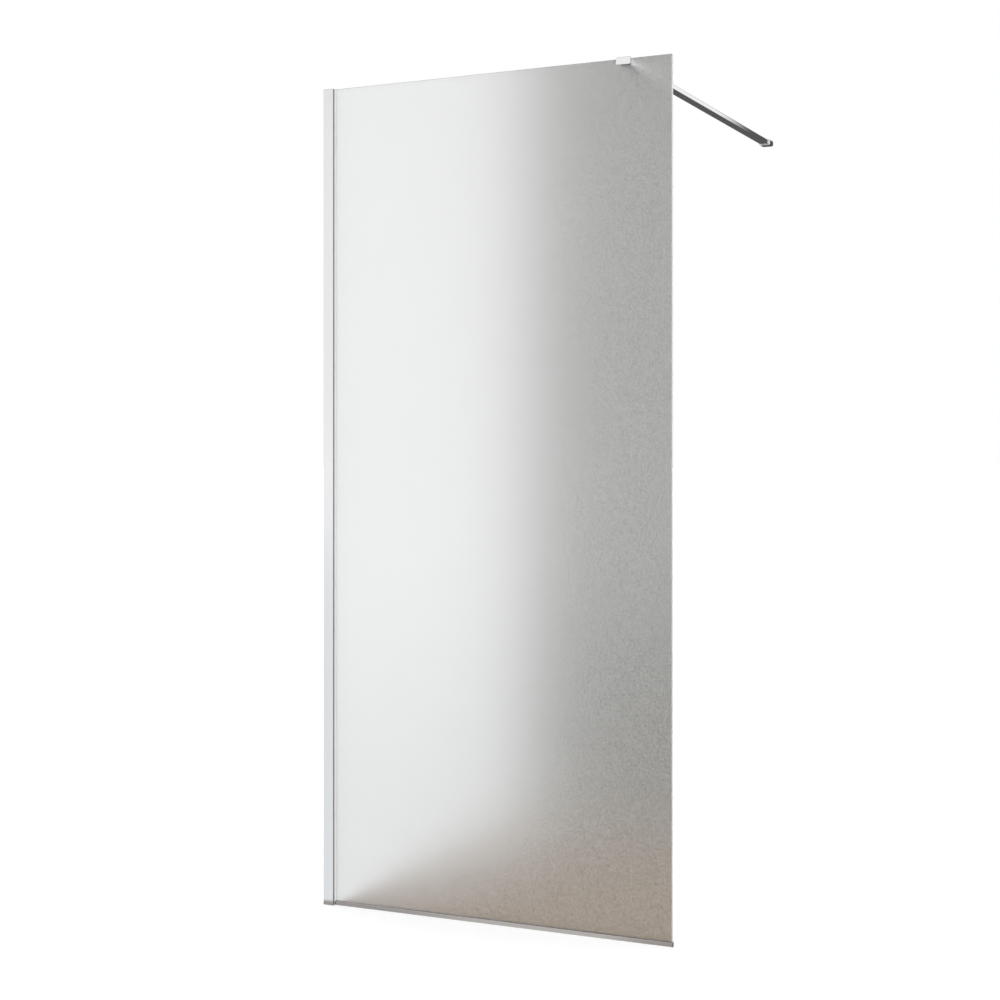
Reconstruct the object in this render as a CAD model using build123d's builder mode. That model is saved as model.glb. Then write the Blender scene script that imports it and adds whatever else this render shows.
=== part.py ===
from build123d import *
import os

# Walk-in shower screen with a wall channel, a satin glass pane and a flat support bar.
# Millimetres. The wall face, the floor and the middle of the glass meet at the origin.
# +X runs along the glass to its free edge, +Y to the side the bar is on, +Z is up.

# Whole screen
screen_width = 900.0
screen_height = 2000.0
back_wall_reach = 1126.0

# Glass pane
glass_thickness = 8.0
glass_arris = 0.6
glass_top_gap = 0.5

# Wall channel
channel_depth = 27.0
channel_thickness = 27.0
channel_wall = 1.8
channel_edge_round = 0.5
wall_hole_diameter = 5.5
wall_hole_end_inset = 80.0
wall_hole_inner_spacing = 600.0
cap_plate = 1.5
cap_edge_round = 0.5
cap_tongue_width = 18.0
cap_tongue_length = 14.0
cap_tongue_lead = 1.0
cap_tongue_gap = 0.2
cap_slot_gap = 0.2

# Glazing profile that slides in the wall channel
width_travel = 10.0
slide_gap = 0.3
screw_head_room = 2.6
glazing_wall = 1.5
glazing_top_gap = 0.3
lip_gap = 2.5
edge_block_depth = 6.0
edge_block_length = 60.0
edge_block_inset = 300.0
gasket_proud = 0.2
gasket_fit = 0.1
gasket_hook_width = 1.6
gasket_hook_rise = 1.8
gasket_flap = 3.0
gasket_flap_tip = 0.3
gasket_rail_gap = 0.3
wedge_ramp = 1.2

# Locking screws in the rear flange
locking_screw_diameter = 4.0
locking_screw_end_inset = 150.0
locking_head_diameter = 7.6
locking_head_height = 2.4
locking_head_chamfer = 0.9
locking_recess_width = 1.0
locking_recess_length = 4.0
locking_recess_depth = 1.1
locking_hole_gap = 0.15
locking_tip = 0.5
nut_width = 5.5
nut_height = 14.0
nut_thickness = 3.0
nut_edge_gap = 0.35
cover_wall = 0.9
cover_head_gap = 0.5
cover_edge_chamfer = 0.7

# Bottom rail
rail_wall = 1.1
rail_floor = 1.2
rail_chamber_height = 2.2
rail_web = 1.0
rail_height = 10.6
rail_lip_height = 0.5
rail_lip_land = 0.8
rail_end_gap = 0.3
rail_liner_thickness = 0.4
rail_liner_drop = 0.3
setting_pad_thickness = 1.0
setting_pad_length = 60.0
setting_pad_inset = 140.0
end_cap_height = 9.8
end_cap_thickness = 1.2
end_cap_tongue = 12.0
end_cap_fit = 0.15
end_cap_edge_round = 0.5

# Support bar
bar_width = 25.0
bar_height = 11.0
bar_wall = 1.5
bar_corner = 2.0
bar_drop = 5.5
bar_pocket_gap = 0.2
bar_end_gap = 0.2
plug_head = 1.0
plug_length = 9.0
plug_wall = 1.2
plug_fit = 0.1

# Clamp over the top edge of the glass
clamp_edge_distance = 114.5
clamp_width = 35.0
clamp_sleeve_width = 28.4
clamp_height = 16.4
clamp_corner = 3.0
clamp_edge_round = 0.8
clamp_rear_chamfer = 0.6
clamp_jaw = 5.5
clamp_liner_thickness = 0.8
clamp_liner_inset = 0.5
clamp_pocket_depth = 14.0
clamp_web = 6.0
pressure_pad_thickness = 1.0
pressure_plate_thickness = 1.2
pressure_plate_inset = 0.5
pressure_plate_height = 9.5
pressure_plate_corner = 2.0
clamp_screw_diameter = 6.0
clamp_screw_sunk = 0.4
clamp_screw_key = 3.0
thread_gap = 0.05

# Grub screws that hold the bar from below
bar_screw_diameter = 4.0
bar_screw_length = 2.0
bar_screw_key = 2.0
bar_screw_gap = 0.1
grub_chamfer = 0.4
grub_key_depth = 1.1

# Socket on the wall at the far end of the bar
socket_width = 32.5
socket_height = 15.5
socket_corner = 4.5
socket_edge_chamfer = 0.6
socket_depth = 32.0
socket_back = 6.0
socket_hole_diameter = 5.5
socket_sink_diameter = 10.0
socket_bar_room = 5.0

# Places that follow from the sizes above
glass_half = glass_thickness / 2
glass_top = screen_height - glass_top_gap
middle_height = screen_height / 2
channel_top = screen_height - cap_plate
glazing_top = channel_top - glazing_top_gap
channel_half = channel_thickness / 2
channel_inner_half = channel_half - channel_wall
glazing_half = channel_inner_half - slide_gap
glazing_inner_half = glazing_half - glazing_wall
glazing_back = channel_wall + screw_head_room
glazing_floor = glazing_back + glazing_wall
glazing_mouth = channel_depth - slide_gap
glazing_lip_back = glazing_mouth - glazing_wall
lip_half = glass_half + lip_gap
gasket_front = glazing_mouth + gasket_proud
gasket_flap_end = gasket_front + gasket_flap
glass_back = glazing_floor + edge_block_depth

rail_pocket_half = glass_half + rail_liner_thickness
rail_half = rail_pocket_half + rail_wall
rail_chamber_top = rail_floor + rail_chamber_height
rail_pocket_floor = rail_chamber_top + rail_web
rail_liner_floor = rail_pocket_floor + rail_liner_thickness
rail_start = channel_depth + rail_end_gap
glass_bottom = rail_liner_floor + setting_pad_thickness

nut_outer_y = glazing_inner_half - slide_gap
nut_inner_y = nut_outer_y - nut_thickness
locking_hole_radius = locking_screw_diameter / 2 + locking_hole_gap
locking_x = glazing_floor + width_travel + nut_edge_gap + nut_width / 2
locking_heights = [
    locking_screw_end_inset,
    middle_height,
    screen_height - locking_screw_end_inset,
]
locking_places = [(locking_x, height) for height in locking_heights]
cover_inner_radius = locking_head_diameter / 2 + cover_head_gap
cover_inner_depth = locking_head_height + cover_head_gap

bar_z = glass_top - bar_drop
bar_underside = bar_z - bar_height / 2
pocket_width = bar_width + 2 * bar_pocket_gap
pocket_height = bar_height + 2 * bar_pocket_gap
pocket_corner = bar_corner + bar_pocket_gap
bar_screw_top = bar_underside - bar_screw_gap

clamp_x = screen_width - clamp_edge_distance
clamp_bottom = bar_z - clamp_height / 2
clamp_slot_front = glass_half + clamp_liner_thickness
clamp_slot_top = glass_top + clamp_liner_thickness
pressure_plate_front = glass_half + pressure_pad_thickness
pressure_plate_back = pressure_plate_front + pressure_plate_thickness
pressure_plate_width = clamp_sleeve_width - 2 * pressure_plate_inset
clamp_slot_back = pressure_plate_back + clamp_screw_sunk
clamp_pocket_y = clamp_slot_back + clamp_web
clamp_back = clamp_pocket_y + clamp_pocket_depth
clamp_bar_screw_y = clamp_pocket_y + clamp_pocket_depth / 2

bar_front = clamp_pocket_y + bar_end_gap + plug_head
socket_front = back_wall_reach - socket_depth
socket_pocket_y = back_wall_reach - socket_back
bar_back = socket_pocket_y - socket_bar_room - plug_head
socket_bar_screw_y = (socket_front + bar_back) / 2
socket_bottom = bar_z - socket_height / 2

os.makedirs("parts", exist_ok=True)


# Wall channel: a polished U section with screw holes in its web and rear flange
wall_hole_heights = [
    wall_hole_end_inset,
    middle_height - wall_hole_inner_spacing / 2,
    middle_height + wall_hole_inner_spacing / 2,
    screen_height - wall_hole_end_inset,
]
with BuildPart() as wall_channel:
    with BuildSketch(Plane.XY):
        Rectangle(channel_depth, channel_thickness, align=(Align.MIN, Align.CENTER))
        with Locations((channel_wall, 0)):
            Rectangle(
                channel_depth,
                2 * channel_inner_half,
                align=(Align.MIN, Align.CENTER),
                mode=Mode.SUBTRACT,
            )
    extrude(amount=channel_top)
    mouth_edges = wall_channel.edges().filter_by(Axis.Z).group_by(Axis.X)[-1]
    fillet(mouth_edges, radius=channel_edge_round)
    with BuildSketch(Plane.YZ):
        with Locations(*[(0, height) for height in wall_hole_heights]):
            Circle(wall_hole_diameter / 2)
    extrude(amount=channel_wall, mode=Mode.SUBTRACT)
    with BuildSketch(Plane.XZ.offset(-channel_half)):
        with Locations(*locking_places):
            Circle(locking_hole_radius)
    extrude(amount=channel_wall, mode=Mode.SUBTRACT)
wall_channel.part.label = "wall_channel"
export_step(wall_channel.part, "parts/wall_channel.step")


# Cap on the top of the wall channel: a slot lets the glass through to the mouth,
# and a tongue behind the glazing profile holds it
with BuildPart() as channel_top_cap:
    with BuildSketch(Plane.XY.offset(channel_top)):
        Rectangle(channel_depth, channel_thickness, align=(Align.MIN, Align.CENTER))
    extrude(amount=cap_plate)
    fillet(channel_top_cap.edges().group_by(Axis.Z)[-1], radius=cap_edge_round)
    with BuildSketch(Plane.XY.offset(channel_top)):
        with Locations((glass_back - cap_slot_gap, 0)):
            Rectangle(
                channel_depth,
                glass_thickness + 2 * cap_slot_gap,
                align=(Align.MIN, Align.CENTER),
            )
    extrude(amount=cap_plate, mode=Mode.SUBTRACT)
    with BuildSketch(Plane.XY.offset(channel_top)):
        with Locations((channel_wall + cap_tongue_gap, 0)):
            Rectangle(
                screw_head_room - 2 * cap_tongue_gap,
                cap_tongue_width,
                align=(Align.MIN, Align.CENTER),
            )
    extrude(amount=-cap_tongue_length)
    tongue_end = channel_top_cap.edges().group_by(Axis.Z)[0].filter_by(Axis.Y)
    chamfer(tongue_end, length=cap_tongue_lead, length2=cap_tongue_lead / 2)
channel_top_cap.part.label = "channel_top_cap"
export_step(channel_top_cap.part, "parts/channel_top_cap.step")


# Glazing profile: slides out of the wall channel to take up the width of the opening
with BuildPart() as glazing_profile:
    with BuildSketch(Plane.XY):
        with BuildLine():
            Polyline(
                (glazing_back, 0),
                (glazing_back, glazing_half),
                (glazing_mouth, glazing_half),
                (glazing_mouth, lip_half),
                (glazing_lip_back, lip_half),
                (glazing_lip_back, glazing_inner_half),
                (glazing_floor, glazing_inner_half),
                (glazing_floor, 0),
            )
            mirror(about=Plane.XZ)
        make_face()
    extrude(amount=glazing_top)
    with BuildSketch(Plane.XZ.offset(-glazing_half)):
        with Locations(*[(x - width_travel / 2, height) for x, height in locking_places]):
            SlotCenterToCenter(width_travel, 2 * locking_hole_radius)
    extrude(amount=glazing_wall, mode=Mode.SUBTRACT)
glazing_profile.part.label = "glazing_profile"
export_step(glazing_profile.part, "parts/glazing_profile.step")


# Screws that lock the glazing profile, one solid each
with BuildPart() as locking_screws:
    with BuildSketch(Plane.XZ.offset(-channel_half)):
        with Locations(*locking_places):
            Circle(locking_head_diameter / 2)
    extrude(amount=-locking_head_height)
    head_rims = locking_screws.edges().filter_by(GeomType.CIRCLE).group_by(Axis.Y)[-1]
    chamfer(head_rims, length=locking_head_chamfer)
    with BuildSketch(Plane.XZ.offset(-channel_half)):
        with Locations(*locking_places):
            Circle(locking_screw_diameter / 2)
    extrude(amount=channel_half - nut_inner_y + locking_tip)
    shank_tips = locking_screws.edges().filter_by(GeomType.CIRCLE).group_by(Axis.Y)[0]
    chamfer(shank_tips, length=locking_tip)
    with BuildSketch(Plane.XZ.offset(-channel_half - locking_head_height)):
        with Locations(*locking_places):
            Rectangle(locking_recess_length, locking_recess_width)
            Rectangle(locking_recess_width, locking_recess_length)
    extrude(amount=locking_recess_depth, mode=Mode.SUBTRACT)
locking_screws.part.label = "locking_screws"
export_step(locking_screws.part, "parts/locking_screws.step")


# Bar nuts behind the rear flange of the glazing profile
with BuildPart() as locking_nuts:
    with BuildSketch(Plane.XZ.offset(-nut_outer_y)):
        with Locations(*locking_places):
            Rectangle(nut_width, nut_height)
            Circle(locking_screw_diameter / 2 + thread_gap, mode=Mode.SUBTRACT)
    extrude(amount=nut_thickness)
locking_nuts.part.label = "locking_nuts"
export_step(locking_nuts.part, "parts/locking_nuts.step")


# Covers over the heads of the locking screws
with BuildPart() as screw_covers:
    with BuildSketch(Plane.XZ.offset(-channel_half)):
        with Locations(*locking_places):
            Circle(cover_inner_radius + cover_wall)
    extrude(amount=-(cover_inner_depth + cover_wall))
    cover_rims = screw_covers.edges().filter_by(GeomType.CIRCLE).group_by(Axis.Y)[-1]
    chamfer(cover_rims, length=cover_edge_chamfer)
    with BuildSketch(Plane.XZ.offset(-channel_half)):
        with Locations(*locking_places):
            Circle(cover_inner_radius)
    extrude(amount=-cover_inner_depth, mode=Mode.SUBTRACT)
screw_covers.part.label = "screw_covers"
export_step(screw_covers.part, "parts/screw_covers.step")


# Front gasket, clipped behind the front lip before the glass goes in: its flap
# lies on the glass and closes the mouth of the channel above the rail
with BuildPart() as front_gasket:
    with BuildSketch(Plane.XY):
        with BuildLine():
            Polyline(
                (gasket_flap_end, -glass_half),
                (gasket_flap_end, -glass_half - gasket_flap_tip),
                (gasket_front, gasket_fit - lip_half),
                (glazing_lip_back - gasket_fit, gasket_fit - lip_half),
                (glazing_lip_back - gasket_fit, gasket_fit - glazing_inner_half),
                (glazing_lip_back - gasket_hook_width, gasket_fit - glazing_inner_half),
                (glazing_lip_back - gasket_hook_width, -glass_half),
                close=True,
            )
        make_face()
    extrude(amount=glazing_top)
    with BuildSketch(Plane.XY):
        with Locations((gasket_front, 0)):
            Rectangle(gasket_flap, 2 * lip_half, align=(Align.MIN, Align.CENTER))
    extrude(amount=rail_height + gasket_rail_gap, mode=Mode.SUBTRACT)
front_gasket.part.label = "front_gasket"
export_step(front_gasket.part, "parts/front_gasket.step")


# Wedge gasket, pushed in from the rear to lock the glass
with BuildPart() as wedge_gasket:
    with BuildSketch(Plane.XY):
        with BuildLine():
            Polyline(
                (gasket_front, glass_half),
                (gasket_front, lip_half - gasket_fit),
                (glazing_lip_back - gasket_fit, lip_half - gasket_fit),
                (glazing_lip_back - gasket_fit, lip_half + gasket_hook_rise),
                (glazing_lip_back - gasket_hook_width, lip_half + gasket_hook_rise),
                (glazing_lip_back - gasket_hook_width - wedge_ramp, glass_half),
                close=True,
            )
        make_face()
    extrude(amount=glazing_top)
wedge_gasket.part.label = "wedge_gasket"
export_step(wedge_gasket.part, "parts/wedge_gasket.step")


# Blocks that keep the edge of the glass off the glazing profile
edge_block_heights = [edge_block_inset, middle_height, screen_height - edge_block_inset]
with BuildPart() as glass_edge_blocks:
    with BuildSketch(Plane.YZ.offset(glazing_floor)):
        with Locations(*[(0, height) for height in edge_block_heights]):
            Rectangle(glass_thickness, edge_block_length)
    extrude(amount=edge_block_depth)
glass_edge_blocks.part.label = "glass_edge_blocks"
export_step(glass_edge_blocks.part, "parts/glass_edge_blocks.step")


# Glass pane with a small flat ground along every edge
with BuildPart() as glass_pane:
    with BuildSketch(Plane.XZ.offset(-glass_half)):
        with Locations((glass_back, glass_bottom)):
            Rectangle(
                screen_width - glass_back,
                glass_top - glass_bottom,
                align=(Align.MIN, Align.MIN),
            )
    extrude(amount=glass_thickness)
    chamfer(glass_pane.edges(), length=glass_arris)
glass_pane.part.label = "glass_pane"
export_step(glass_pane.part, "parts/glass_pane.step")


# Bottom rail: a slim section with a hollow foot and eased lips beside the glass
with BuildPart() as bottom_rail:
    with BuildSketch(Plane.YZ.offset(rail_start)):
        with BuildLine():
            Polyline(
                (0, 0),
                (rail_half, 0),
                (rail_half, rail_height - rail_lip_height),
                (rail_pocket_half + rail_lip_land, rail_height),
                (rail_pocket_half, rail_height),
                (rail_pocket_half, rail_pocket_floor),
                (0, rail_pocket_floor),
            )
            mirror(about=Plane.YZ)
        make_face()
        with Locations((0, rail_floor)):
            Rectangle(
                2 * rail_pocket_half,
                rail_chamber_height,
                align=(Align.CENTER, Align.MIN),
                mode=Mode.SUBTRACT,
            )
    extrude(amount=screen_width - rail_start)
bottom_rail.part.label = "bottom_rail"
export_step(bottom_rail.part, "parts/bottom_rail.step")


# Clear liner between the rail and the glass
with BuildPart() as rail_liner:
    with BuildSketch(Plane.YZ.offset(rail_start)):
        with Locations((0, rail_pocket_floor)):
            Rectangle(
                2 * rail_pocket_half,
                rail_height - rail_liner_drop - rail_pocket_floor,
                align=(Align.CENTER, Align.MIN),
            )
        with Locations((0, rail_liner_floor)):
            Rectangle(
                glass_thickness,
                rail_height,
                align=(Align.CENTER, Align.MIN),
                mode=Mode.SUBTRACT,
            )
    extrude(amount=screen_width - rail_start)
rail_liner.part.label = "rail_liner"
export_step(rail_liner.part, "parts/rail_liner.step")


# Setting pads that carry the weight of the glass in the rail
setting_pad_places = [
    rail_start + setting_pad_inset,
    (rail_start + screen_width) / 2,
    screen_width - setting_pad_inset,
]
with BuildPart() as setting_pads:
    with BuildSketch(Plane.XY.offset(rail_liner_floor)):
        with Locations(*[(place, 0) for place in setting_pad_places]):
            Rectangle(setting_pad_length, glass_thickness)
    extrude(amount=setting_pad_thickness)
setting_pads.part.label = "setting_pads"
export_step(setting_pads.part, "parts/setting_pads.step")


# Dark cap that closes the free end of the rail, with a tongue in the hollow foot
with BuildPart() as rail_end_cap:
    with BuildSketch(Plane.YZ.offset(screen_width)):
        Rectangle(2 * rail_half, end_cap_height, align=(Align.CENTER, Align.MIN))
    extrude(amount=end_cap_thickness)
    outer_rim = rail_end_cap.edges().group_by(Axis.X)[-1]
    fillet(outer_rim, radius=end_cap_edge_round)
    with BuildSketch(Plane.YZ.offset(screen_width)):
        with Locations((0, rail_floor + end_cap_fit)):
            Rectangle(
                2 * (rail_pocket_half - end_cap_fit),
                rail_chamber_height - 2 * end_cap_fit,
                align=(Align.CENTER, Align.MIN),
            )
    extrude(amount=-end_cap_tongue)
rail_end_cap.part.label = "rail_end_cap"
export_step(rail_end_cap.part, "parts/rail_end_cap.step")


# Clamp body: front jaw, bridge over the glass and a sleeve for the bar in one block
with BuildPart() as clamp_body:
    with BuildSketch(Plane.XZ.offset(-clamp_back)):
        with Locations((clamp_x, bar_z)):
            RectangleRounded(clamp_sleeve_width, clamp_height, clamp_corner)
    extrude(amount=clamp_back + clamp_slot_front)
    chamfer(clamp_body.faces().sort_by(Axis.Y)[-1].edges(), length=clamp_rear_chamfer)
    with BuildSketch(Plane.XZ.offset(clamp_slot_front)):
        with Locations((clamp_x, bar_z)):
            RectangleRounded(clamp_width, clamp_height, clamp_corner)
    extrude(amount=clamp_jaw)
    fillet(clamp_body.faces().sort_by(Axis.Y)[0].edges(), radius=clamp_edge_round)
    with BuildSketch(Plane.YZ.offset(clamp_x)):
        with Locations((-clamp_slot_front, clamp_slot_top)):
            Rectangle(
                clamp_slot_front + clamp_slot_back,
                clamp_height,
                align=(Align.MIN, Align.MAX),
            )
    extrude(amount=clamp_width / 2, both=True, mode=Mode.SUBTRACT)
    with BuildSketch(Plane.XZ.offset(-clamp_back)):
        with Locations((clamp_x, bar_z)):
            RectangleRounded(pocket_width, pocket_height, pocket_corner)
    extrude(amount=clamp_pocket_depth, mode=Mode.SUBTRACT)
    with BuildSketch(Plane.XZ.offset(-clamp_pocket_y)):
        with Locations((clamp_x, bar_z)):
            Circle(clamp_screw_diameter / 2 + thread_gap)
    extrude(amount=clamp_web, mode=Mode.SUBTRACT)
    with BuildSketch(Plane.XY.offset(clamp_bottom)):
        with Locations((clamp_x, clamp_bar_screw_y)):
            Circle(bar_screw_diameter / 2 + thread_gap)
    extrude(amount=clamp_height / 2, mode=Mode.SUBTRACT)
clamp_body.part.label = "clamp_body"
export_step(clamp_body.part, "parts/clamp_body.step")


# Soft liner between the clamp and the front and top of the glass
with BuildPart() as clamp_liner:
    with BuildSketch(Plane.YZ.offset(clamp_x)):
        with BuildLine():
            Polyline(
                (-clamp_slot_front, clamp_bottom + clamp_liner_inset),
                (-clamp_slot_front, clamp_slot_top),
                (glass_half, clamp_slot_top),
                (glass_half, glass_top),
                (-glass_half, glass_top),
                (-glass_half, clamp_bottom + clamp_liner_inset),
                close=True,
            )
        make_face()
    extrude(amount=clamp_sleeve_width / 2 - clamp_liner_inset, both=True)
clamp_liner.part.label = "clamp_liner"
export_step(clamp_liner.part, "parts/clamp_liner.step")


# Pressure plate that spreads the clamping screw's load, and its soft facing
with BuildPart() as pressure_plate:
    with BuildSketch(Plane.XZ.offset(-pressure_plate_back)):
        with Locations((clamp_x, bar_z)):
            RectangleRounded(
                pressure_plate_width, pressure_plate_height, pressure_plate_corner
            )
    extrude(amount=pressure_plate_thickness)
pressure_plate.part.label = "pressure_plate"
export_step(pressure_plate.part, "parts/pressure_plate.step")

with BuildPart() as pressure_pad:
    with BuildSketch(Plane.XZ.offset(-pressure_plate_front)):
        with Locations((clamp_x, bar_z)):
            RectangleRounded(
                pressure_plate_width, pressure_plate_height, pressure_plate_corner
            )
    extrude(amount=pressure_pad_thickness)
pressure_pad.part.label = "pressure_pad"
export_step(pressure_pad.part, "parts/pressure_pad.step")


# Clamping screw, reached through the bar pocket before the bar goes in
with BuildPart() as clamp_screw:
    with BuildSketch(Plane.XZ.offset(-clamp_pocket_y)):
        with Locations((clamp_x, bar_z)):
            Circle(clamp_screw_diameter / 2)
    extrude(amount=clamp_pocket_y - pressure_plate_back)
    chamfer(clamp_screw.edges().filter_by(GeomType.CIRCLE), length=grub_chamfer)
    with BuildSketch(Plane.XZ.offset(-clamp_pocket_y)):
        with Locations((clamp_x, bar_z)):
            RegularPolygon(clamp_screw_key / 2, 6, major_radius=False)
    extrude(amount=clamp_web / 2, mode=Mode.SUBTRACT)
clamp_screw.part.label = "clamp_screw"
export_step(clamp_screw.part, "parts/clamp_screw.step")


# Grub screw under the clamp that holds the bar
with BuildPart() as clamp_bar_screw:
    with BuildSketch(Plane.XY.offset(bar_screw_top)):
        with Locations((clamp_x, clamp_bar_screw_y)):
            Circle(bar_screw_diameter / 2)
    extrude(amount=-bar_screw_length)
    chamfer(clamp_bar_screw.edges().filter_by(GeomType.CIRCLE), length=grub_chamfer)
    with BuildSketch(Plane.XY.offset(bar_screw_top - bar_screw_length)):
        with Locations((clamp_x, clamp_bar_screw_y)):
            RegularPolygon(bar_screw_key / 2, 6, major_radius=False)
    extrude(amount=grub_key_depth, mode=Mode.SUBTRACT)
clamp_bar_screw.part.label = "clamp_bar_screw"
export_step(clamp_bar_screw.part, "parts/clamp_bar_screw.step")


# Support bar: a flat tube from the clamp to the wall socket
with BuildPart() as support_bar:
    with BuildSketch(Plane.XZ.offset(-bar_back)):
        with Locations((clamp_x, bar_z)):
            RectangleRounded(bar_width, bar_height, bar_corner)
            RectangleRounded(
                bar_width - 2 * bar_wall,
                bar_height - 2 * bar_wall,
                bar_corner - bar_wall / 2,
                mode=Mode.SUBTRACT,
            )
    extrude(amount=bar_back - bar_front)
support_bar.part.label = "support_bar"
export_step(support_bar.part, "parts/support_bar.step")


# Hollow plugs in the two ends of the bar
plug_corner = bar_corner - bar_wall / 2
plug_width = bar_width - 2 * (bar_wall + plug_fit)
plug_height = bar_height - 2 * (bar_wall + plug_fit)
with BuildPart() as bar_end_plugs:
    for end, inward in ((bar_front, -1), (bar_back, 1)):
        with BuildSketch(Plane.XZ.offset(-end)):
            with Locations((clamp_x, bar_z)):
                RectangleRounded(bar_width, bar_height, bar_corner)
        extrude(amount=-inward * plug_head)
        with BuildSketch(Plane.XZ.offset(-end)):
            with Locations((clamp_x, bar_z)):
                RectangleRounded(plug_width, plug_height, plug_corner)
                RectangleRounded(
                    plug_width - 2 * plug_wall,
                    plug_height - 2 * plug_wall,
                    plug_corner / 2,
                    mode=Mode.SUBTRACT,
                )
        extrude(amount=inward * plug_length)
bar_end_plugs.part.label = "bar_end_plugs"
export_step(bar_end_plugs.part, "parts/bar_end_plugs.step")


# Wall socket: takes the end of the bar and hides its own wall screw
with BuildPart() as wall_socket:
    with BuildSketch(Plane.XZ.offset(-back_wall_reach)):
        with Locations((clamp_x, bar_z)):
            RectangleRounded(socket_width, socket_height, socket_corner)
    extrude(amount=socket_depth)
    chamfer(wall_socket.faces().sort_by(Axis.Y)[0].edges(), length=socket_edge_chamfer)
    with BuildSketch(Plane.XZ.offset(-socket_pocket_y)):
        with Locations((clamp_x, bar_z)):
            RectangleRounded(pocket_width, pocket_height, pocket_corner)
    extrude(amount=socket_depth - socket_back, mode=Mode.SUBTRACT)
    pocket_centre = Plane.XZ.offset(-socket_pocket_y) * Location((clamp_x, bar_z, 0))
    with Locations(pocket_centre):
        CounterSinkHole(
            socket_hole_diameter / 2, socket_sink_diameter / 2, depth=socket_back
        )
    with BuildSketch(Plane.XY.offset(socket_bottom)):
        with Locations((clamp_x, socket_bar_screw_y)):
            Circle(bar_screw_diameter / 2 + thread_gap)
    extrude(amount=socket_height / 2, mode=Mode.SUBTRACT)
wall_socket.part.label = "wall_socket"
export_step(wall_socket.part, "parts/wall_socket.step")


# Grub screw under the socket that holds the bar
with BuildPart() as socket_bar_screw:
    with BuildSketch(Plane.XY.offset(bar_screw_top)):
        with Locations((clamp_x, socket_bar_screw_y)):
            Circle(bar_screw_diameter / 2)
    extrude(amount=-bar_screw_length)
    chamfer(socket_bar_screw.edges().filter_by(GeomType.CIRCLE), length=grub_chamfer)
    with BuildSketch(Plane.XY.offset(bar_screw_top - bar_screw_length)):
        with Locations((clamp_x, socket_bar_screw_y)):
            RegularPolygon(bar_screw_key / 2, 6, major_radius=False)
    extrude(amount=grub_key_depth, mode=Mode.SUBTRACT)
socket_bar_screw.part.label = "socket_bar_screw"
export_step(socket_bar_screw.part, "parts/socket_bar_screw.step")
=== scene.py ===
"""Dresses a walk-in shower screen: satin glass, polished profiles, chrome bar and fittings."""

import math

import bmesh
import bpy
from bpy.props import FloatProperty, FloatVectorProperty, PointerProperty
from bpy.types import Operator, Panel, PropertyGroup
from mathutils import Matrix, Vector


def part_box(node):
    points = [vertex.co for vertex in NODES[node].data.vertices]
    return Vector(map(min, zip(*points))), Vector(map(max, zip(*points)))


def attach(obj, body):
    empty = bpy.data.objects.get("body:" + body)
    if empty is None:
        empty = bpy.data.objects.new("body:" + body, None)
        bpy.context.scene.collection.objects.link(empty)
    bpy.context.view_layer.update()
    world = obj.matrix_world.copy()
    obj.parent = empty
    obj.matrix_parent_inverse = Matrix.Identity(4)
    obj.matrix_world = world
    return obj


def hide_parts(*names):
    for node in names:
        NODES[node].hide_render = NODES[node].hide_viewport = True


bl_info = {
    "name": "Walk-in Shower Screen",
    "version": (1, 0, 0),
    "blender": (4, 5, 0),
    "location": "3D View > Sidebar > Shower Screen",
    "description": "Finishes the glass, profiles, bar and fittings of a walk-in shower screen",
    "category": "Object",
}

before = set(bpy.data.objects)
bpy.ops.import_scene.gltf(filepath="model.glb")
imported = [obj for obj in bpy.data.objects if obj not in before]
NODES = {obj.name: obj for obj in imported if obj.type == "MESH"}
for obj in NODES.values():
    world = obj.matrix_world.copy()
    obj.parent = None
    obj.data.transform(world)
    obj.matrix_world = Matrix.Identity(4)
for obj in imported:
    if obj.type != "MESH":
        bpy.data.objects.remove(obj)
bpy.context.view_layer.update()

WHITE = (1.0, 1.0, 1.0, 1.0)
BLACK = (0.0, 0.0, 0.0, 1.0)
GLASS_INDEX = 1.5

# Drawn lines run along the axis whose share is small.
EVEN = (1.0, 1.0, 1.0)
ALONG_X = (0.004, 1.0, 1.0)
ALONG_Y = (1.0, 0.004, 1.0)
ALONG_Z = (1.0, 1.0, 0.004)

# The room that shows blurred through the pane, in metres.
ROOM_DEPTH = 1.127
ROOM_HEIGHT = 2.8
ROOM_CORNER = 0.043
ROOM_END = 6.0


class GlassSettings(PropertyGroup):
    """Sizes and colours of the satin pane."""

    arris: FloatProperty(
        name="Arris",
        description="Width of the small ground flat along every edge of the pane",
        default=0.0006,
        unit="LENGTH",
    )
    face_colour: FloatVectorProperty(
        name="Satin colour",
        description="Colour of the etched faces",
        default=(0.93, 0.94, 0.935, 1.0),
        size=4,
        subtype="COLOR",
    )
    edge_colour: FloatVectorProperty(
        name="Edge colour",
        description="Colour of the polished edges",
        default=(0.90, 0.95, 0.93, 1.0),
        size=4,
        subtype="COLOR",
    )
    face_roughness: FloatProperty(
        name="Etch roughness",
        description="How far the etched faces scatter light",
        default=0.38,
        subtype="FACTOR",
    )
    grain_size: FloatProperty(
        name="Etch grain",
        description="Size of one grain of the etched faces",
        default=0.005,
        unit="LENGTH",
    )
    glint_roughness: FloatProperty(
        name="Glint roughness",
        description="How far the glints of the etched grain spread",
        default=0.35,
        subtype="FACTOR",
    )
    glint_index: FloatProperty(
        name="Glint index",
        description="Refractive index of the thin layer that makes the grain glint",
        default=2.2,
    )


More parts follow.
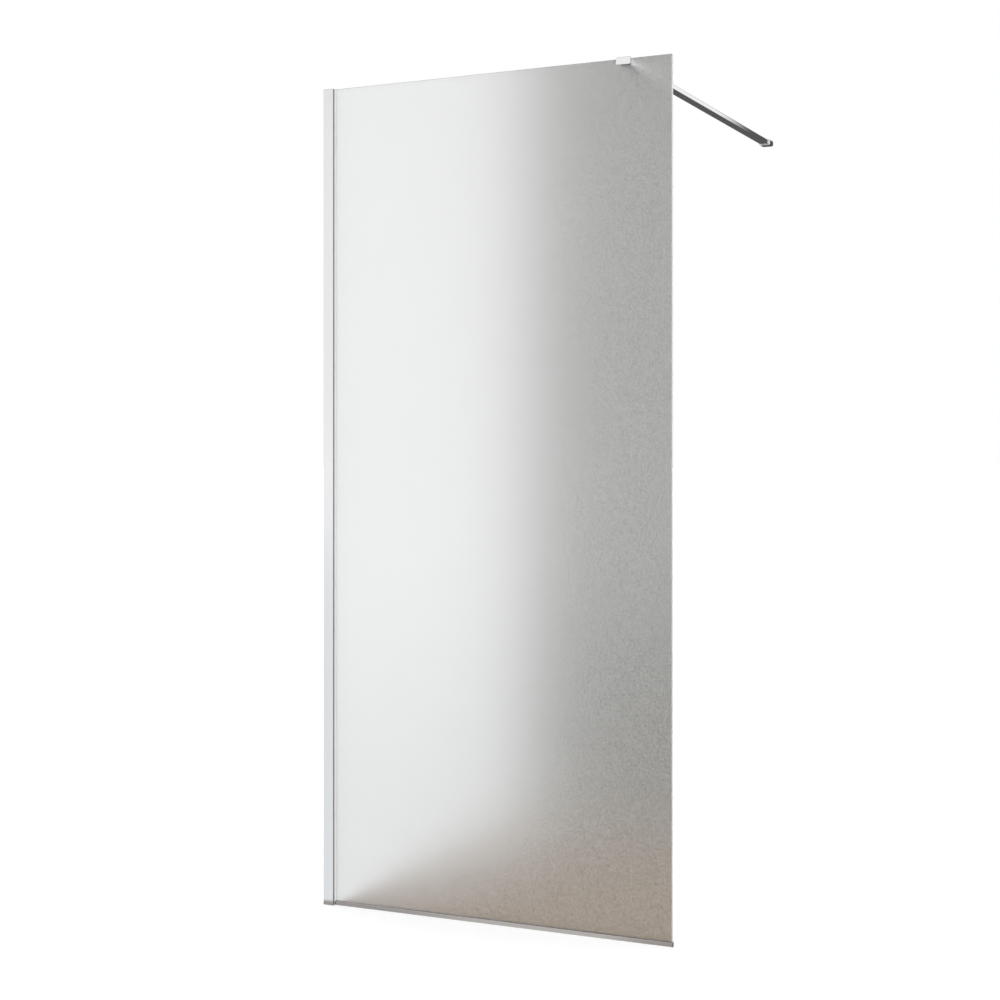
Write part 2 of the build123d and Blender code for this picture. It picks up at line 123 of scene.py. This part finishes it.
class MetalSettings(PropertyGroup):
    """Colours of the polished aluminium and the chrome plate."""

    aluminium_colour: FloatVectorProperty(
        name="Aluminium",
        description="Colour of the bright polished extrusions",
        default=(0.82, 0.825, 0.83, 1.0),
        size=4,
        subtype="COLOR",
    )
    inner_colour: FloatVectorProperty(
        name="Glazing profile",
        description="Colour of the duller profile inside the wall channel",
        default=(0.34, 0.34, 0.35, 1.0),
        size=4,
        subtype="COLOR",
    )
    chrome_colour: FloatVectorProperty(
        name="Chrome",
        description="Colour of the chrome plate on the bar and fittings",
        default=(0.86, 0.86, 0.865, 1.0),
        size=4,
        subtype="COLOR",
    )
    steel_colour: FloatVectorProperty(
        name="Steel",
        description="Colour of the stainless screws",
        default=(0.60, 0.59, 0.57, 1.0),
        size=4,
        subtype="COLOR",
    )


class StageSettings(PropertyGroup):
    """Camera, floor and lights."""

    camera_place: FloatVectorProperty(
        name="Camera place",
        description="Where the camera stands",
        default=(2.207, -3.669, 1.0824),
        subtype="TRANSLATION",
    )
    camera_heading: FloatProperty(
        name="Camera heading",
        description="Turn of the camera from looking along Y",
        default=math.radians(25.30),
        subtype="ANGLE",
    )
    camera_lens: FloatProperty(
        name="Lens",
        description="Focal length on a 36 mm sensor, in millimetres",
        default=62.33,
    )
    camera_rise: FloatProperty(
        name="Rise",
        description="Vertical shift that puts the horizon above the middle of the frame",
        default=-0.0365,
    )
    floor_colour: FloatVectorProperty(
        name="Floor",
        description="Colour of the pale floor",
        default=(0.95, 0.95, 0.95, 1.0),
        size=4,
        subtype="COLOR",
    )
    floor_glow: FloatProperty(
        name="Floor glow",
        description="Light that the floor gives by itself, which keeps its tone even",
        default=0.25,
    )
    sky_strength: FloatProperty(
        name="Studio light",
        description="Strength of the even light from all round",
        default=1.0,
    )


def new_material(name):
    """A material with one Principled shader, and that shader."""
    material = bpy.data.materials.new(name)
    material.use_nodes = True
    nodes = material.node_tree.nodes
    nodes.clear()
    shader = nodes.new("ShaderNodeBsdfPrincipled")
    output = nodes.new("ShaderNodeOutputMaterial")
    material.node_tree.links.new(shader.outputs["BSDF"], output.inputs["Surface"])
    return material, shader


def new_group(name, inputs, outputs):
    """An empty shader node group with these sockets, and its two ends."""
    group = bpy.data.node_groups.new(name, "ShaderNodeTree")
    for label, kind, value in inputs:
        socket = group.interface.new_socket(label, in_out="INPUT", socket_type=kind)
        if value is not None:
            socket.default_value = value
    for label, kind in outputs:
        group.interface.new_socket(label, in_out="OUTPUT", socket_type=kind)
    return group, group.nodes.new("NodeGroupInput"), group.nodes.new("NodeGroupOutput")


def feed(tree, socket, value):
    """Links a socket to another node's output, or sets it to a plain number or colour."""
    if isinstance(value, bpy.types.NodeSocket):
        tree.links.new(value, socket)
    else:
        socket.default_value = value


def math_node(tree, operation, first, second=None, third=None, clamp=False):
    """A Math node fed by sockets or plain numbers; returns its output."""
    node = tree.nodes.new("ShaderNodeMath")
    node.operation = operation
    node.use_clamp = clamp
    for socket, value in zip(node.inputs, (first, second, third)):
        if value is not None:
            feed(tree, socket, value)
    return node.outputs[0]


def vector_node(tree, operation, first, second):
    """A Vector Math node fed by two vector sockets; returns its output."""
    node = tree.nodes.new("ShaderNodeVectorMath")
    node.operation = operation
    feed(tree, node.inputs[0], first)
    feed(tree, node.inputs[1], second)
    return node.outputs[0]


def noise_node(tree, vector, scale, detail, roughness):
    """A Noise Texture fed by a vector socket; returns its value."""
    node = tree.nodes.new("ShaderNodeTexNoise")
    node.inputs["Detail"].default_value = detail
    node.inputs["Roughness"].default_value = roughness
    feed(tree, node.inputs["Vector"], vector)
    feed(tree, node.inputs["Scale"], scale)
    return node.outputs[0]


def group_grain():
    """Even fine grain: an etched or moulded surface seen close."""
    group, start, end = new_group(
        "Fine grain",
        [("Position", "NodeSocketVector", None), ("Grain size", "NodeSocketFloat", 0.001)],
        [("Height", "NodeSocketFloat"), ("Tone", "NodeSocketFloat")],
    )
    place = start.outputs["Position"]
    fine_scale = math_node(group, "DIVIDE", 1.0, start.outputs["Grain size"])
    fine = noise_node(group, place, fine_scale, detail=3.0, roughness=0.6)
    coarse_share = 0.012
    coarse_scale = math_node(group, "MULTIPLY", fine_scale, coarse_share)
    coarse = noise_node(group, place, coarse_scale, detail=2.0, roughness=0.5)
    half = 0.5
    tone = math_node(group, "MULTIPLY_ADD", coarse, half, math_node(group, "MULTIPLY", fine, half))
    group.links.new(fine, end.inputs["Height"])
    group.links.new(tone, end.inputs["Tone"])
    return group


def group_drawn_lines():
    """Long faint lines left by the die along an extrusion or by polishing."""
    group, start, end = new_group(
        "Drawn lines",
        [
            ("Position", "NodeSocketVector", None),
            ("Stretch", "NodeSocketVector", (1.0, 1.0, 0.01)),
            ("Line width", "NodeSocketFloat", 0.0004),
        ],
        [("Height", "NodeSocketFloat"), ("Tone", "NodeSocketFloat")],
    )
    place = vector_node(group, "MULTIPLY", start.outputs["Position"], start.outputs["Stretch"])
    fine_scale = math_node(group, "DIVIDE", 1.0, start.outputs["Line width"])
    fine = noise_node(group, place, fine_scale, detail=4.0, roughness=0.7)
    broad_share = 0.07
    broad_scale = math_node(group, "MULTIPLY", fine_scale, broad_share)
    broad = noise_node(group, place, broad_scale, detail=2.0, roughness=0.5)
    fine_part = math_node(group, "MULTIPLY", fine, 0.4)
    tone = math_node(group, "MULTIPLY_ADD", broad, 0.6, fine_part)
    group.links.new(fine, end.inputs["Height"])
    group.links.new(tone, end.inputs["Tone"])
    return group


def group_edge_wear():
    """A mask that is 1 along the edges of a box-shaped piece, broken up by noise."""
    group, start, end = new_group(
        "Edge wear",
        [
            ("Position", "NodeSocketVector", None),
            ("Low corner", "NodeSocketVector", (0.0, 0.0, 0.0)),
            ("High corner", "NodeSocketVector", (1.0, 1.0, 1.0)),
            ("Width", "NodeSocketFloat", 0.001),
        ],
        [("Mask", "NodeSocketFloat")],
    )

    place = start.outputs["Position"]
    low = vector_node(group, "SUBTRACT", place, start.outputs["Low corner"])
    high = vector_node(group, "SUBTRACT", start.outputs["High corner"], place)
    split = group.nodes.new("ShaderNodeSeparateXYZ")
    group.links.new(vector_node(group, "MINIMUM", low, high), split.inputs[0])
    x, y, z = split.outputs
    edge = math_node(group, "MINIMUM", math_node(group, "ADD", x, y), math_node(group, "ADD", y, z))
    edge = math_node(group, "MINIMUM", edge, math_node(group, "ADD", z, x))
    patches_per_metre = 260.0
    patchy = noise_node(group, place, patches_per_metre, detail=4.0, roughness=0.65)
    reach = math_node(group, "MULTIPLY", start.outputs["Width"], patchy)
    least_reach = 0.00001
    ratio = math_node(group, "DIVIDE", edge, math_node(group, "MAXIMUM", reach, least_reach))
    mask = math_node(group, "SUBTRACT", 1.0, ratio, clamp=True)
    group.links.new(mask, end.inputs["Mask"])
    return group


def group_hand_marks():
    """Soft cloudy marks left by hands and wiping."""
    group, start, end = new_group(
        "Hand marks",
        [("Position", "NodeSocketVector", None), ("Mark size", "NodeSocketFloat", 0.03)],
        [("Tone", "NodeSocketFloat")],
    )
    scale = math_node(group, "DIVIDE", 1.0, start.outputs["Mark size"])
    clouds = noise_node(group, start.outputs["Position"], scale, detail=5.0, roughness=0.55)
    clean_level = 0.45
    mark_strength = 3.0
    marks = math_node(group, "SUBTRACT", clouds, clean_level, clamp=True)
    tone = math_node(group, "MULTIPLY", marks, mark_strength, clamp=True)
    group.links.new(tone, end.inputs["Tone"])
    return group


GROUP_MAKERS = {
    "Fine grain": group_grain,
    "Drawn lines": group_drawn_lines,
    "Edge wear": group_edge_wear,
    "Hand marks": group_hand_marks,
}


def use_group(material, name, **values):
    """Places a shared group in a material, fed with object coordinates; returns its node."""
    tree = material.node_tree
    node = tree.nodes.new("ShaderNodeGroup")
    node.node_tree = bpy.data.node_groups.get(name) or GROUP_MAKERS[name]()
    place = tree.nodes.get("Place") or tree.nodes.new("ShaderNodeTexCoord")
    place.name = "Place"
    tree.links.new(place.outputs["Object"], node.inputs["Position"])
    for label, value in values.items():
        node.inputs[label.replace("_", " ").capitalize()].default_value = value
    return node


def blend_colours(material, factor, first, second):
    """A Mix node from one colour to another, driven by a mask; returns its colour."""
    tree = material.node_tree
    node = tree.nodes.new("ShaderNodeMix")
    node.data_type = "RGBA"
    feed(tree, node.inputs["A"], first)
    feed(tree, node.inputs["B"], second)
    feed(tree, node.inputs["Factor"], factor)
    return node.outputs["Result"]


def spread(material, value, low, high, start=0.0, end=1.0):
    """A Map Range node from start..end to low..high; returns its result."""
    node = material.node_tree.nodes.new("ShaderNodeMapRange")
    node.inputs["From Min"].default_value = start
    node.inputs["From Max"].default_value = end
    node.inputs["To Min"].default_value = low
    node.inputs["To Max"].default_value = high
    material.node_tree.links.new(value, node.inputs["Value"])
    return node.outputs["Result"]


def raise_bumps(material, shader, height, distance, strength=1.0):
    """A Bump node that feeds the shader's Normal."""
    bump = material.node_tree.nodes.new("ShaderNodeBump")
    bump.inputs["Strength"].default_value = strength
    bump.inputs["Distance"].default_value = distance
    material.node_tree.links.new(height, bump.inputs["Height"])
    material.node_tree.links.new(bump.outputs["Normal"], shader.inputs["Normal"])


def shade(colour, factor):
    """The colour made darker or lighter by a factor, with its alpha kept."""
    return (*(channel * factor for channel in colour[:3]), colour[3])


def satin_glass(settings):
    """Etched faces of the pane."""
    material, shader = new_material("satin_glass")
    links = material.node_tree.links
    shader.inputs["Transmission Weight"].default_value = 0.98
    shader.inputs["IOR"].default_value = GLASS_INDEX
    shader.inputs["Coat Roughness"].default_value = settings.glint_roughness
    shader.inputs["Coat IOR"].default_value = settings.glint_index
    grain = use_group(material, "Fine grain", grain_size=settings.grain_size)
    tone = grain.outputs["Tone"]
    height = grain.outputs["Height"]
    darkest = shade(settings.face_colour, 0.97)
    colour = blend_colours(material, tone, darkest, settings.face_colour)
    links.new(colour, shader.inputs["Base Color"])
    swing = 0.04
    least = settings.face_roughness - swing
    most = settings.face_roughness + swing
    links.new(spread(material, tone, least, most), shader.inputs["Roughness"])
    glints = spread(material, height, 0.0, 1.0, start=0.38, end=0.62)
    links.new(glints, shader.inputs["Coat Weight"])
    raise_bumps(material, shader, height, distance=0.00005)
    return material


def polished_glass_edge(settings):
    """Ground and polished edges of the pane."""
    material, shader = new_material("polished_glass_edge")
    links = material.node_tree.links
    shader.inputs["Transmission Weight"].default_value = 0.55
    shader.inputs["IOR"].default_value = GLASS_INDEX
    lines = use_group(material, "Drawn lines", stretch=(1.0, 1.0, 0.02), line_width=0.0008)
    tone = lines.outputs["Tone"]
    darkest = shade(settings.edge_colour, 0.94)
    colour = blend_colours(material, tone, darkest, settings.edge_colour)
    links.new(colour, shader.inputs["Base Color"])
    rough = spread(material, tone, low=0.10, high=0.22)
    links.new(rough, shader.inputs["Roughness"])
    raise_bumps(material, shader, lines.outputs["Height"], distance=0.00002)
    return material


def edge_mask(material, node_name, width):
    """Worn edges of one CAD node; returns the mask."""
    low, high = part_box(node_name)
    edges = use_group(
        material,
        "Edge wear",
        low_corner=tuple(low),
        high_corner=tuple(high),
        width=width,
    )
    return edges.outputs["Mask"]


def metal(name, colour, node_name, stretch, roughness, wear, line_width=0.0005, depth=0.000004):
    """A polished metal with drawn lines, hand marks and bright worn edges on one CAD node."""
    material, shader = new_material(name)
    tree = material.node_tree
    shader.inputs["Metallic"].default_value = 1.0
    lines = use_group(material, "Drawn lines", stretch=stretch, line_width=line_width)
    marks = use_group(material, "Hand marks", mark_size=0.05)
    edges = edge_mask(material, node_name, wear)
    tone = lines.outputs["Tone"]
    drawn = blend_colours(material, tone, shade(colour, 0.955), colour)
    worn = blend_colours(material, edges, drawn, shade(colour, 1.08))
    tree.links.new(worn, shader.inputs["Base Color"])
    smooth = spread(material, tone, low=roughness * 0.7, high=roughness * 1.3)
    mark_dulls = 0.05
    wear_dulls = 0.12
    marked = math_node(tree, "MULTIPLY_ADD", marks.outputs["Tone"], mark_dulls, smooth)
    rough = math_node(tree, "MULTIPLY_ADD", edges, wear_dulls, marked)
    tree.links.new(rough, shader.inputs["Roughness"])
    raise_bumps(material, shader, lines.outputs["Height"], depth)
    return material


def moulded(name, colour, node_name, roughness, grain_size, wear=0.0008, clear=0.0):
    """A moulded plastic or rubber with fine grain and rubbed edges."""
    material, shader = new_material(name)
    tree = material.node_tree
    shader.inputs["Transmission Weight"].default_value = clear
    grain = use_group(material, "Fine grain", grain_size=grain_size)
    marks = use_group(material, "Hand marks", mark_size=0.02)
    edges = edge_mask(material, node_name, wear)
    tone = grain.outputs["Tone"]
    base = blend_colours(material, tone, shade(colour, 0.82), shade(colour, 1.1))
    rubbed = blend_colours(material, edges, base, shade(colour, 1.35))
    tree.links.new(rubbed, shader.inputs["Base Color"])
    swing = 0.06
    mark_shines = -0.08
    smooth = spread(material, tone, low=roughness - swing, high=roughness + swing)
    rough = math_node(tree, "MULTIPLY_ADD", marks.outputs["Tone"], mark_shines, smooth)
    tree.links.new(rough, shader.inputs["Roughness"])
    raise_bumps(material, shader, grain.outputs["Height"], distance=0.00004)
    return material


def dress(node_name, material):
    """Gives a CAD node its material."""
    for slot in NODES[node_name].material_slots:
        slot.material = material


def finished(name, shape, materials, body, stands_for):
    """Turns a bmesh into a piece that rides on a body and stands for CAD nodes."""
    mesh = bpy.data.meshes.new(name)
    shape.to_mesh(mesh)
    shape.free()
    for material in materials:
        mesh.materials.append(material)
    piece = bpy.data.objects.new(name, mesh)
    bpy.context.scene.collection.objects.link(piece)
    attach(piece, body)
    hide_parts(*stands_for)
    return piece


def block(low, high):
    """A bmesh box between two corners."""
    shape = bmesh.new()
    size = high - low
    bmesh.ops.create_cube(shape, size=1.0)
    bmesh.ops.scale(shape, vec=size, verts=shape.verts)
    bmesh.ops.translate(shape, vec=(low + high) / 2, verts=shape.verts)
    return shape


class SHOWER_OT_glass_pane(Operator):
    """Model the satin pane with its ground and polished edges"""

    bl_idname = "shower.glass_pane"
    bl_label = "Glass pane"

    def execute(self, context):
        settings = context.scene.shower_glass
        low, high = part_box("glass_pane")
        shape = block(low, high)
        bmesh.ops.bevel(
            shape,
            geom=shape.edges,
            offset=settings.arris,
            segments=2,
            profile=0.5,
            affect="EDGES",
            material=-1,
        )
        shape.normal_update()
        flat_on = 0.999
        for face in shape.faces:
            face.material_index = 0 if abs(face.normal.y) > flat_on else 1
        finished(
            "satin_pane",
            shape,
            [satin_glass(settings), polished_glass_edge(settings)],
            "glass_panel",
            ["glass_pane"],
        )
        return {"FINISHED"}


class SHOWER_OT_profiles(Operator):
    """Finish the wall channel, glazing profile and bottom rail as polished extrusions"""

    bl_idname = "shower.profiles"
    bl_label = "Polished profiles"

    def execute(self, context):
        settings = context.scene.shower_metal
        for node_name, colour, stretch in (
            ("wall_channel", settings.aluminium_colour, ALONG_Z),
            ("glazing_profile", settings.inner_colour, ALONG_Z),
            ("bottom_rail", settings.aluminium_colour, ALONG_X),
        ):
            finish = metal(
                f"polished_{node_name}",
                tuple(colour),
                node_name,
                stretch,
                roughness=0.16,
                wear=0.0012,
            )
            dress(node_name, finish)
        return {"FINISHED"}


class SHOWER_OT_chrome(Operator):
    """Finish the clamp, support bar and wall socket in chrome plate"""

    bl_idname = "shower.chrome"
    bl_label = "Chrome bar and fittings"

    def execute(self, context):
        colour = tuple(context.scene.shower_metal.chrome_colour)
        for node_name, stretch in (
            ("clamp_body", EVEN),
            ("support_bar", ALONG_Y),
            ("wall_socket", EVEN),
        ):
            finish = metal(
                f"chrome_{node_name}",
                colour,
                node_name,
                stretch,
                roughness=0.10,
                wear=0.0008,
            )
            dress(node_name, finish)
        return {"FINISHED"}


class SHOWER_OT_screws(Operator):
    """Finish the screws, nuts and pressure plate in stainless steel"""

    bl_idname = "shower.screws"
    bl_label = "Screws and plates"

    def execute(self, context):
        colour = tuple(context.scene.shower_metal.steel_colour)
        for node_name in (
            "locking_screws",
            "locking_nuts",
            "pressure_plate",
            "clamp_screw",
            "clamp_bar_screw",
            "socket_bar_screw",
        ):
            finish = metal(
                f"steel_{node_name}",
                colour,
                node_name,
                EVEN,
                roughness=0.28,
                wear=0.0005,
                line_width=0.0003,
            )
            dress(node_name, finish)
        return {"FINISHED"}


class SHOWER_OT_seals(Operator):
    """Finish the gaskets, liners, pads and caps as mouldings"""

    bl_idname = "shower.seals"
    bl_label = "Seals, pads and caps"

    def execute(self, context):
        seal = (0.86, 0.87, 0.87, 1.0)
        vinyl = (0.72, 0.74, 0.75, 1.0)
        dark = (0.10, 0.10, 0.105, 1.0)
        grey = (0.58, 0.59, 0.60, 1.0)
        natural = (0.80, 0.78, 0.74, 1.0)
        for node_name, colour, roughness, grain_size, clear in (
            ("front_gasket", seal, 0.45, 0.0006, 0.0),
            ("wedge_gasket", seal, 0.45, 0.0006, 0.0),
            ("pressure_pad", seal, 0.45, 0.0006, 0.0),
            ("rail_liner", vinyl, 0.25, 0.0010, 0.5),
            ("clamp_liner", vinyl, 0.25, 0.0010, 0.5),
            ("rail_end_cap", dark, 0.45, 0.0005, 0.0),
            ("channel_top_cap", grey, 0.30, 0.0005, 0.0),
            ("screw_covers", grey, 0.30, 0.0005, 0.0),
            ("bar_end_plugs", grey, 0.40, 0.0005, 0.0),
            ("glass_edge_blocks", natural, 0.50, 0.0008, 0.0),
            ("setting_pads", natural, 0.50, 0.0008, 0.0),
        ):
            finish = moulded(
                f"moulded_{node_name}",
                colour,
                node_name,
                roughness,
                grain_size,
                clear=clear,
            )
            dress(node_name, finish)
        return {"FINISHED"}


def card(name, corners, material, **seen_by):
    """A flat four-cornered studio card; when some kinds of ray are named, it is hidden from every
    other kind.
    """
    shape = bmesh.new()
    shape.faces.new([shape.verts.new(corner) for corner in corners])
    mesh = bpy.data.meshes.new(name)
    shape.to_mesh(mesh)
    shape.free()
    mesh.materials.append(material)
    board = bpy.data.objects.new(name, mesh)
    bpy.context.scene.collection.objects.link(board)
    if seen_by:
        for ray in ("camera", "diffuse", "glossy", "transmission", "volume_scatter", "shadow"):
            setattr(board, f"visible_{ray}", seen_by.get(ray, False))
    return board


def glow(name, colour):
    """A plain emitting material for a studio card."""
    material, shader = new_material(name)
    shader.inputs["Base Color"].default_value = BLACK
    shader.inputs["Specular IOR Level"].default_value = 0.0
    shader.inputs["Emission Color"].default_value = colour
    shader.inputs["Emission Strength"].default_value = 1.0
    return material


def graded_glow(name, near_colour, far_colour, axis, start, end):
    """An emitting material that turns from one colour to another along an axis."""
    material = glow(name, near_colour)
    tree = material.node_tree
    place = tree.nodes.new("ShaderNodeTexCoord")
    split = tree.nodes.new("ShaderNodeSeparateXYZ")
    tree.links.new(place.outputs["Object"], split.inputs[0])
    ramp = tree.nodes.new("ShaderNodeMapRange")
    ramp.interpolation_type = "SMOOTHSTEP"
    ramp.inputs["From Min"].default_value = start
    ramp.inputs["From Max"].default_value = end
    tree.links.new(split.outputs[axis], ramp.inputs["Value"])
    colour = blend_colours(material, ramp.outputs["Result"], near_colour, far_colour)
    shader = next(node for node in tree.nodes if node.type == "BSDF_PRINCIPLED")
    tree.links.new(colour, shader.inputs["Emission Color"])
    return material


def level(west, east, south, north, height):
    """Corners of a level card."""
    return [
        (west, south, height),
        (east, south, height),
        (east, north, height),
        (west, north, height),
    ]


def upright(west, east, place, low, high):
    """Corners of a card that stands along the glass."""
    return [
        (west, place, low),
        (east, place, low),
        (east, place, high),
        (west, place, high),
    ]


def room_cards():
    """The room on both sides of the pane as glowing cards of painted light and shade, seen only by
    light that passes through the glass.
    """
    seam_x = 0.0272
    seam_y = 0.0045
    # Painted light: a near-white glowing card for the side wall, darker towards its foot, that
    # lights the left of the pane.
    card(
        "side_wall_card",
        [
            (seam_x, seam_y, 0.0),
            (ROOM_CORNER, ROOM_DEPTH, 0.0),
            (ROOM_CORNER, ROOM_DEPTH, ROOM_HEIGHT),
            (seam_x, seam_y, ROOM_HEIGHT),
        ],
        graded_glow(
            "side_wall_painted_light",
            near_colour=(0.87, 0.88, 0.88, 1.0),
            far_colour=WHITE,
            axis="Z",
            start=0.0,
            end=0.9,
        ),
        transmission=True,
    )
    # Painted shade: a grey glowing card for the back wall, darker towards the floor, that greys the
    # right of the pane.
    card(
        "back_wall_card",
        upright(west=ROOM_CORNER, east=ROOM_END, place=ROOM_DEPTH, low=0.0, high=ROOM_HEIGHT),
        graded_glow(
            "back_wall_painted_shade",
            near_colour=(0.165, 0.155, 0.135, 1.0),
            far_colour=(0.285, 0.28, 0.267, 1.0),
            axis="Z",
            start=0.2,
            end=0.9,
        ),
        transmission=True,
    )
    # Painted shade: a glowing card with the brown floor colour behind the pane, darker towards the
    # east.
    card(
        "warm_floor_card",
        level(west=-0.003, east=ROOM_END, south=0.02, north=ROOM_DEPTH, height=0.002),
        graded_glow(
            "floor_painted_shade",
            near_colour=(0.39, 0.32, 0.28, 1.0),
            far_colour=(0.225, 0.15, 0.085, 1.0),
            axis="X",
            start=-0.1,
            end=0.5,
        ),
        transmission=True,
    )
    # Painted light: a glowing card for the room in front, grey to the west and lighter to the east.
    card(
        "front_room_card",
        upright(west=-6.0, east=6.0, place=-1.6, low=0.0, high=3.2),
        graded_glow(
            "front_room_painted_light",
            near_colour=(0.42, 0.43, 0.43, 1.0),
            far_colour=(0.82, 0.83, 0.83, 1.0),
            axis="X",
            start=-0.6,
            end=1.6,
        ),
        transmission=True,
    )


def mirror_cards():
    """Glowing cards seen only in reflections: painted reflections in the chrome, the aluminium and
    the sheen of the glass.
    """
    # Painted reflection: a dark sheet behind the pane, seen only by glossy rays, turning white past
    # the pane's free end.
    card(
        "painted_dark_reflection_card",
        upright(west=-0.5, east=0.96, place=1.134, low=0.0, high=2.6),
        graded_glow(
            "painted_dark_reflection",
            near_colour=(0.10, 0.10, 0.10, 1.0),
            far_colour=(0.95, 0.95, 0.95, 1.0),
            axis="X",
            start=0.86,
            end=0.96,
        ),
        glossy=True,
    )
    # Painted reflection: a grey ceiling seen only by glossy rays, which darkens the top edges of
    # the metal.
    card(
        "ceiling_card",
        level(west=-3.0, east=4.0, south=-3.5, north=3.0, height=3.2),
        glow("ceiling_painted_reflection", (0.45, 0.45, 0.45, 1.0)),
        glossy=True,
    )
    # Painted reflection: a pale floor seen only by glossy rays.
    card(
        "pale_floor_card",
        level(west=-20.0, east=20.0, south=-20.0, north=20.0, height=0.0006),
        glow("floor_painted_reflection", (0.89, 0.905, 0.92, 1.0)),
        glossy=True,
    )
    # Painted reflection: brownish strips in front of the rail, seen only by glossy rays, lighter in
    # the middle, that tint the rail's front face.
    strip = {"south": -0.05, "north": -0.0065, "height": 0.001}
    card(
        "front_floor_west_card",
        level(west=-0.2, east=0.7, **strip),
        graded_glow(
            "rail_painted_reflection_west",
            near_colour=(0.36, 0.33, 0.31, 1.0),
            far_colour=(0.53, 0.50, 0.47, 1.0),
            axis="X",
            start=0.1,
            end=0.5,
        ),
        glossy=True,
    )
    card(
        "front_floor_east_card",
        level(west=0.7, east=1.2, **strip),
        graded_glow(
            "rail_painted_reflection_east",
            near_colour=(0.53, 0.50, 0.47, 1.0),
            far_colour=(0.36, 0.33, 0.30, 1.0),
            axis="X",
            start=0.7,
            end=0.88,
        ),
        glossy=True,
    )


class SHOWER_OT_stage(Operator):
    """Set the pale floor, the soft studio light and the camera"""

    bl_idname = "shower.stage"
    bl_label = "Stage"

    def execute(self, context):
        scene = context.scene
        settings = scene.shower_stage
        scene.view_settings.view_transform = "Standard"
        world = bpy.data.worlds.new("studio")
        world.use_nodes = True
        sky = world.node_tree.nodes["Background"]
        sky.inputs["Color"].default_value = WHITE
        sky.inputs["Strength"].default_value = settings.sky_strength
        scene.world = world

        pale, shader = new_material("pale_floor")
        shader.inputs["Base Color"].default_value = settings.floor_colour
        shader.inputs["Roughness"].default_value = 0.8
        shader.inputs["Emission Color"].default_value = WHITE
        shader.inputs["Emission Strength"].default_value = settings.floor_glow
        reach = 400.0
        card("floor", level(-reach, reach, -reach, reach, height=0.0), pale)
        room_cards()
        mirror_cards()

        camera = bpy.data.objects.new("camera", bpy.data.cameras.new("camera"))
        scene.collection.objects.link(camera)
        camera.location = settings.camera_place
        camera.rotation_euler = (math.radians(90.0), 0.0, settings.camera_heading)
        camera.data.lens = settings.camera_lens
        camera.data.shift_y = settings.camera_rise
        scene.camera = camera
        return {"FINISHED"}


class SHOWER_PT_screen(Panel):
    """Sizes, colours and building steps of the shower screen"""

    bl_idname = "SHOWER_PT_screen"
    bl_label = "Shower Screen"
    bl_space_type = "VIEW_3D"
    bl_region_type = "UI"
    bl_category = "Shower Screen"

    def draw(self, context):
        layout = self.layout
        for settings in (
            context.scene.shower_glass,
            context.scene.shower_metal,
            context.scene.shower_stage,
        ):
            box = layout.box()
            for label in settings.__annotations__:
                box.prop(settings, label)
        for step in STEPS:
            layout.operator(step.bl_idname)


SETTINGS = {
    "shower_glass": GlassSettings,
    "shower_metal": MetalSettings,
    "shower_stage": StageSettings,
}
STEPS = (
    SHOWER_OT_glass_pane,
    SHOWER_OT_profiles,
    SHOWER_OT_chrome,
    SHOWER_OT_screws,
    SHOWER_OT_seals,
    SHOWER_OT_stage,
)


def register():
    for group in SETTINGS.values():
        bpy.utils.register_class(group)
    for name, group in SETTINGS.items():
        setattr(bpy.types.Scene, name, PointerProperty(type=group))
    for step in STEPS:
        bpy.utils.register_class(step)
    bpy.utils.register_class(SHOWER_PT_screen)


def unregister():
    bpy.utils.unregister_class(SHOWER_PT_screen)
    for step in reversed(STEPS):
        bpy.utils.unregister_class(step)
    for name in SETTINGS:
        delattr(bpy.types.Scene, name)
    for group in reversed(SETTINGS.values()):
        bpy.utils.unregister_class(group)


def main():
    register()
    bpy.ops.shower.glass_pane()
    bpy.ops.shower.profiles()
    bpy.ops.shower.chrome()
    bpy.ops.shower.screws()
    bpy.ops.shower.seals()
    bpy.ops.shower.stage()


if __name__ == "__main__":
    main()
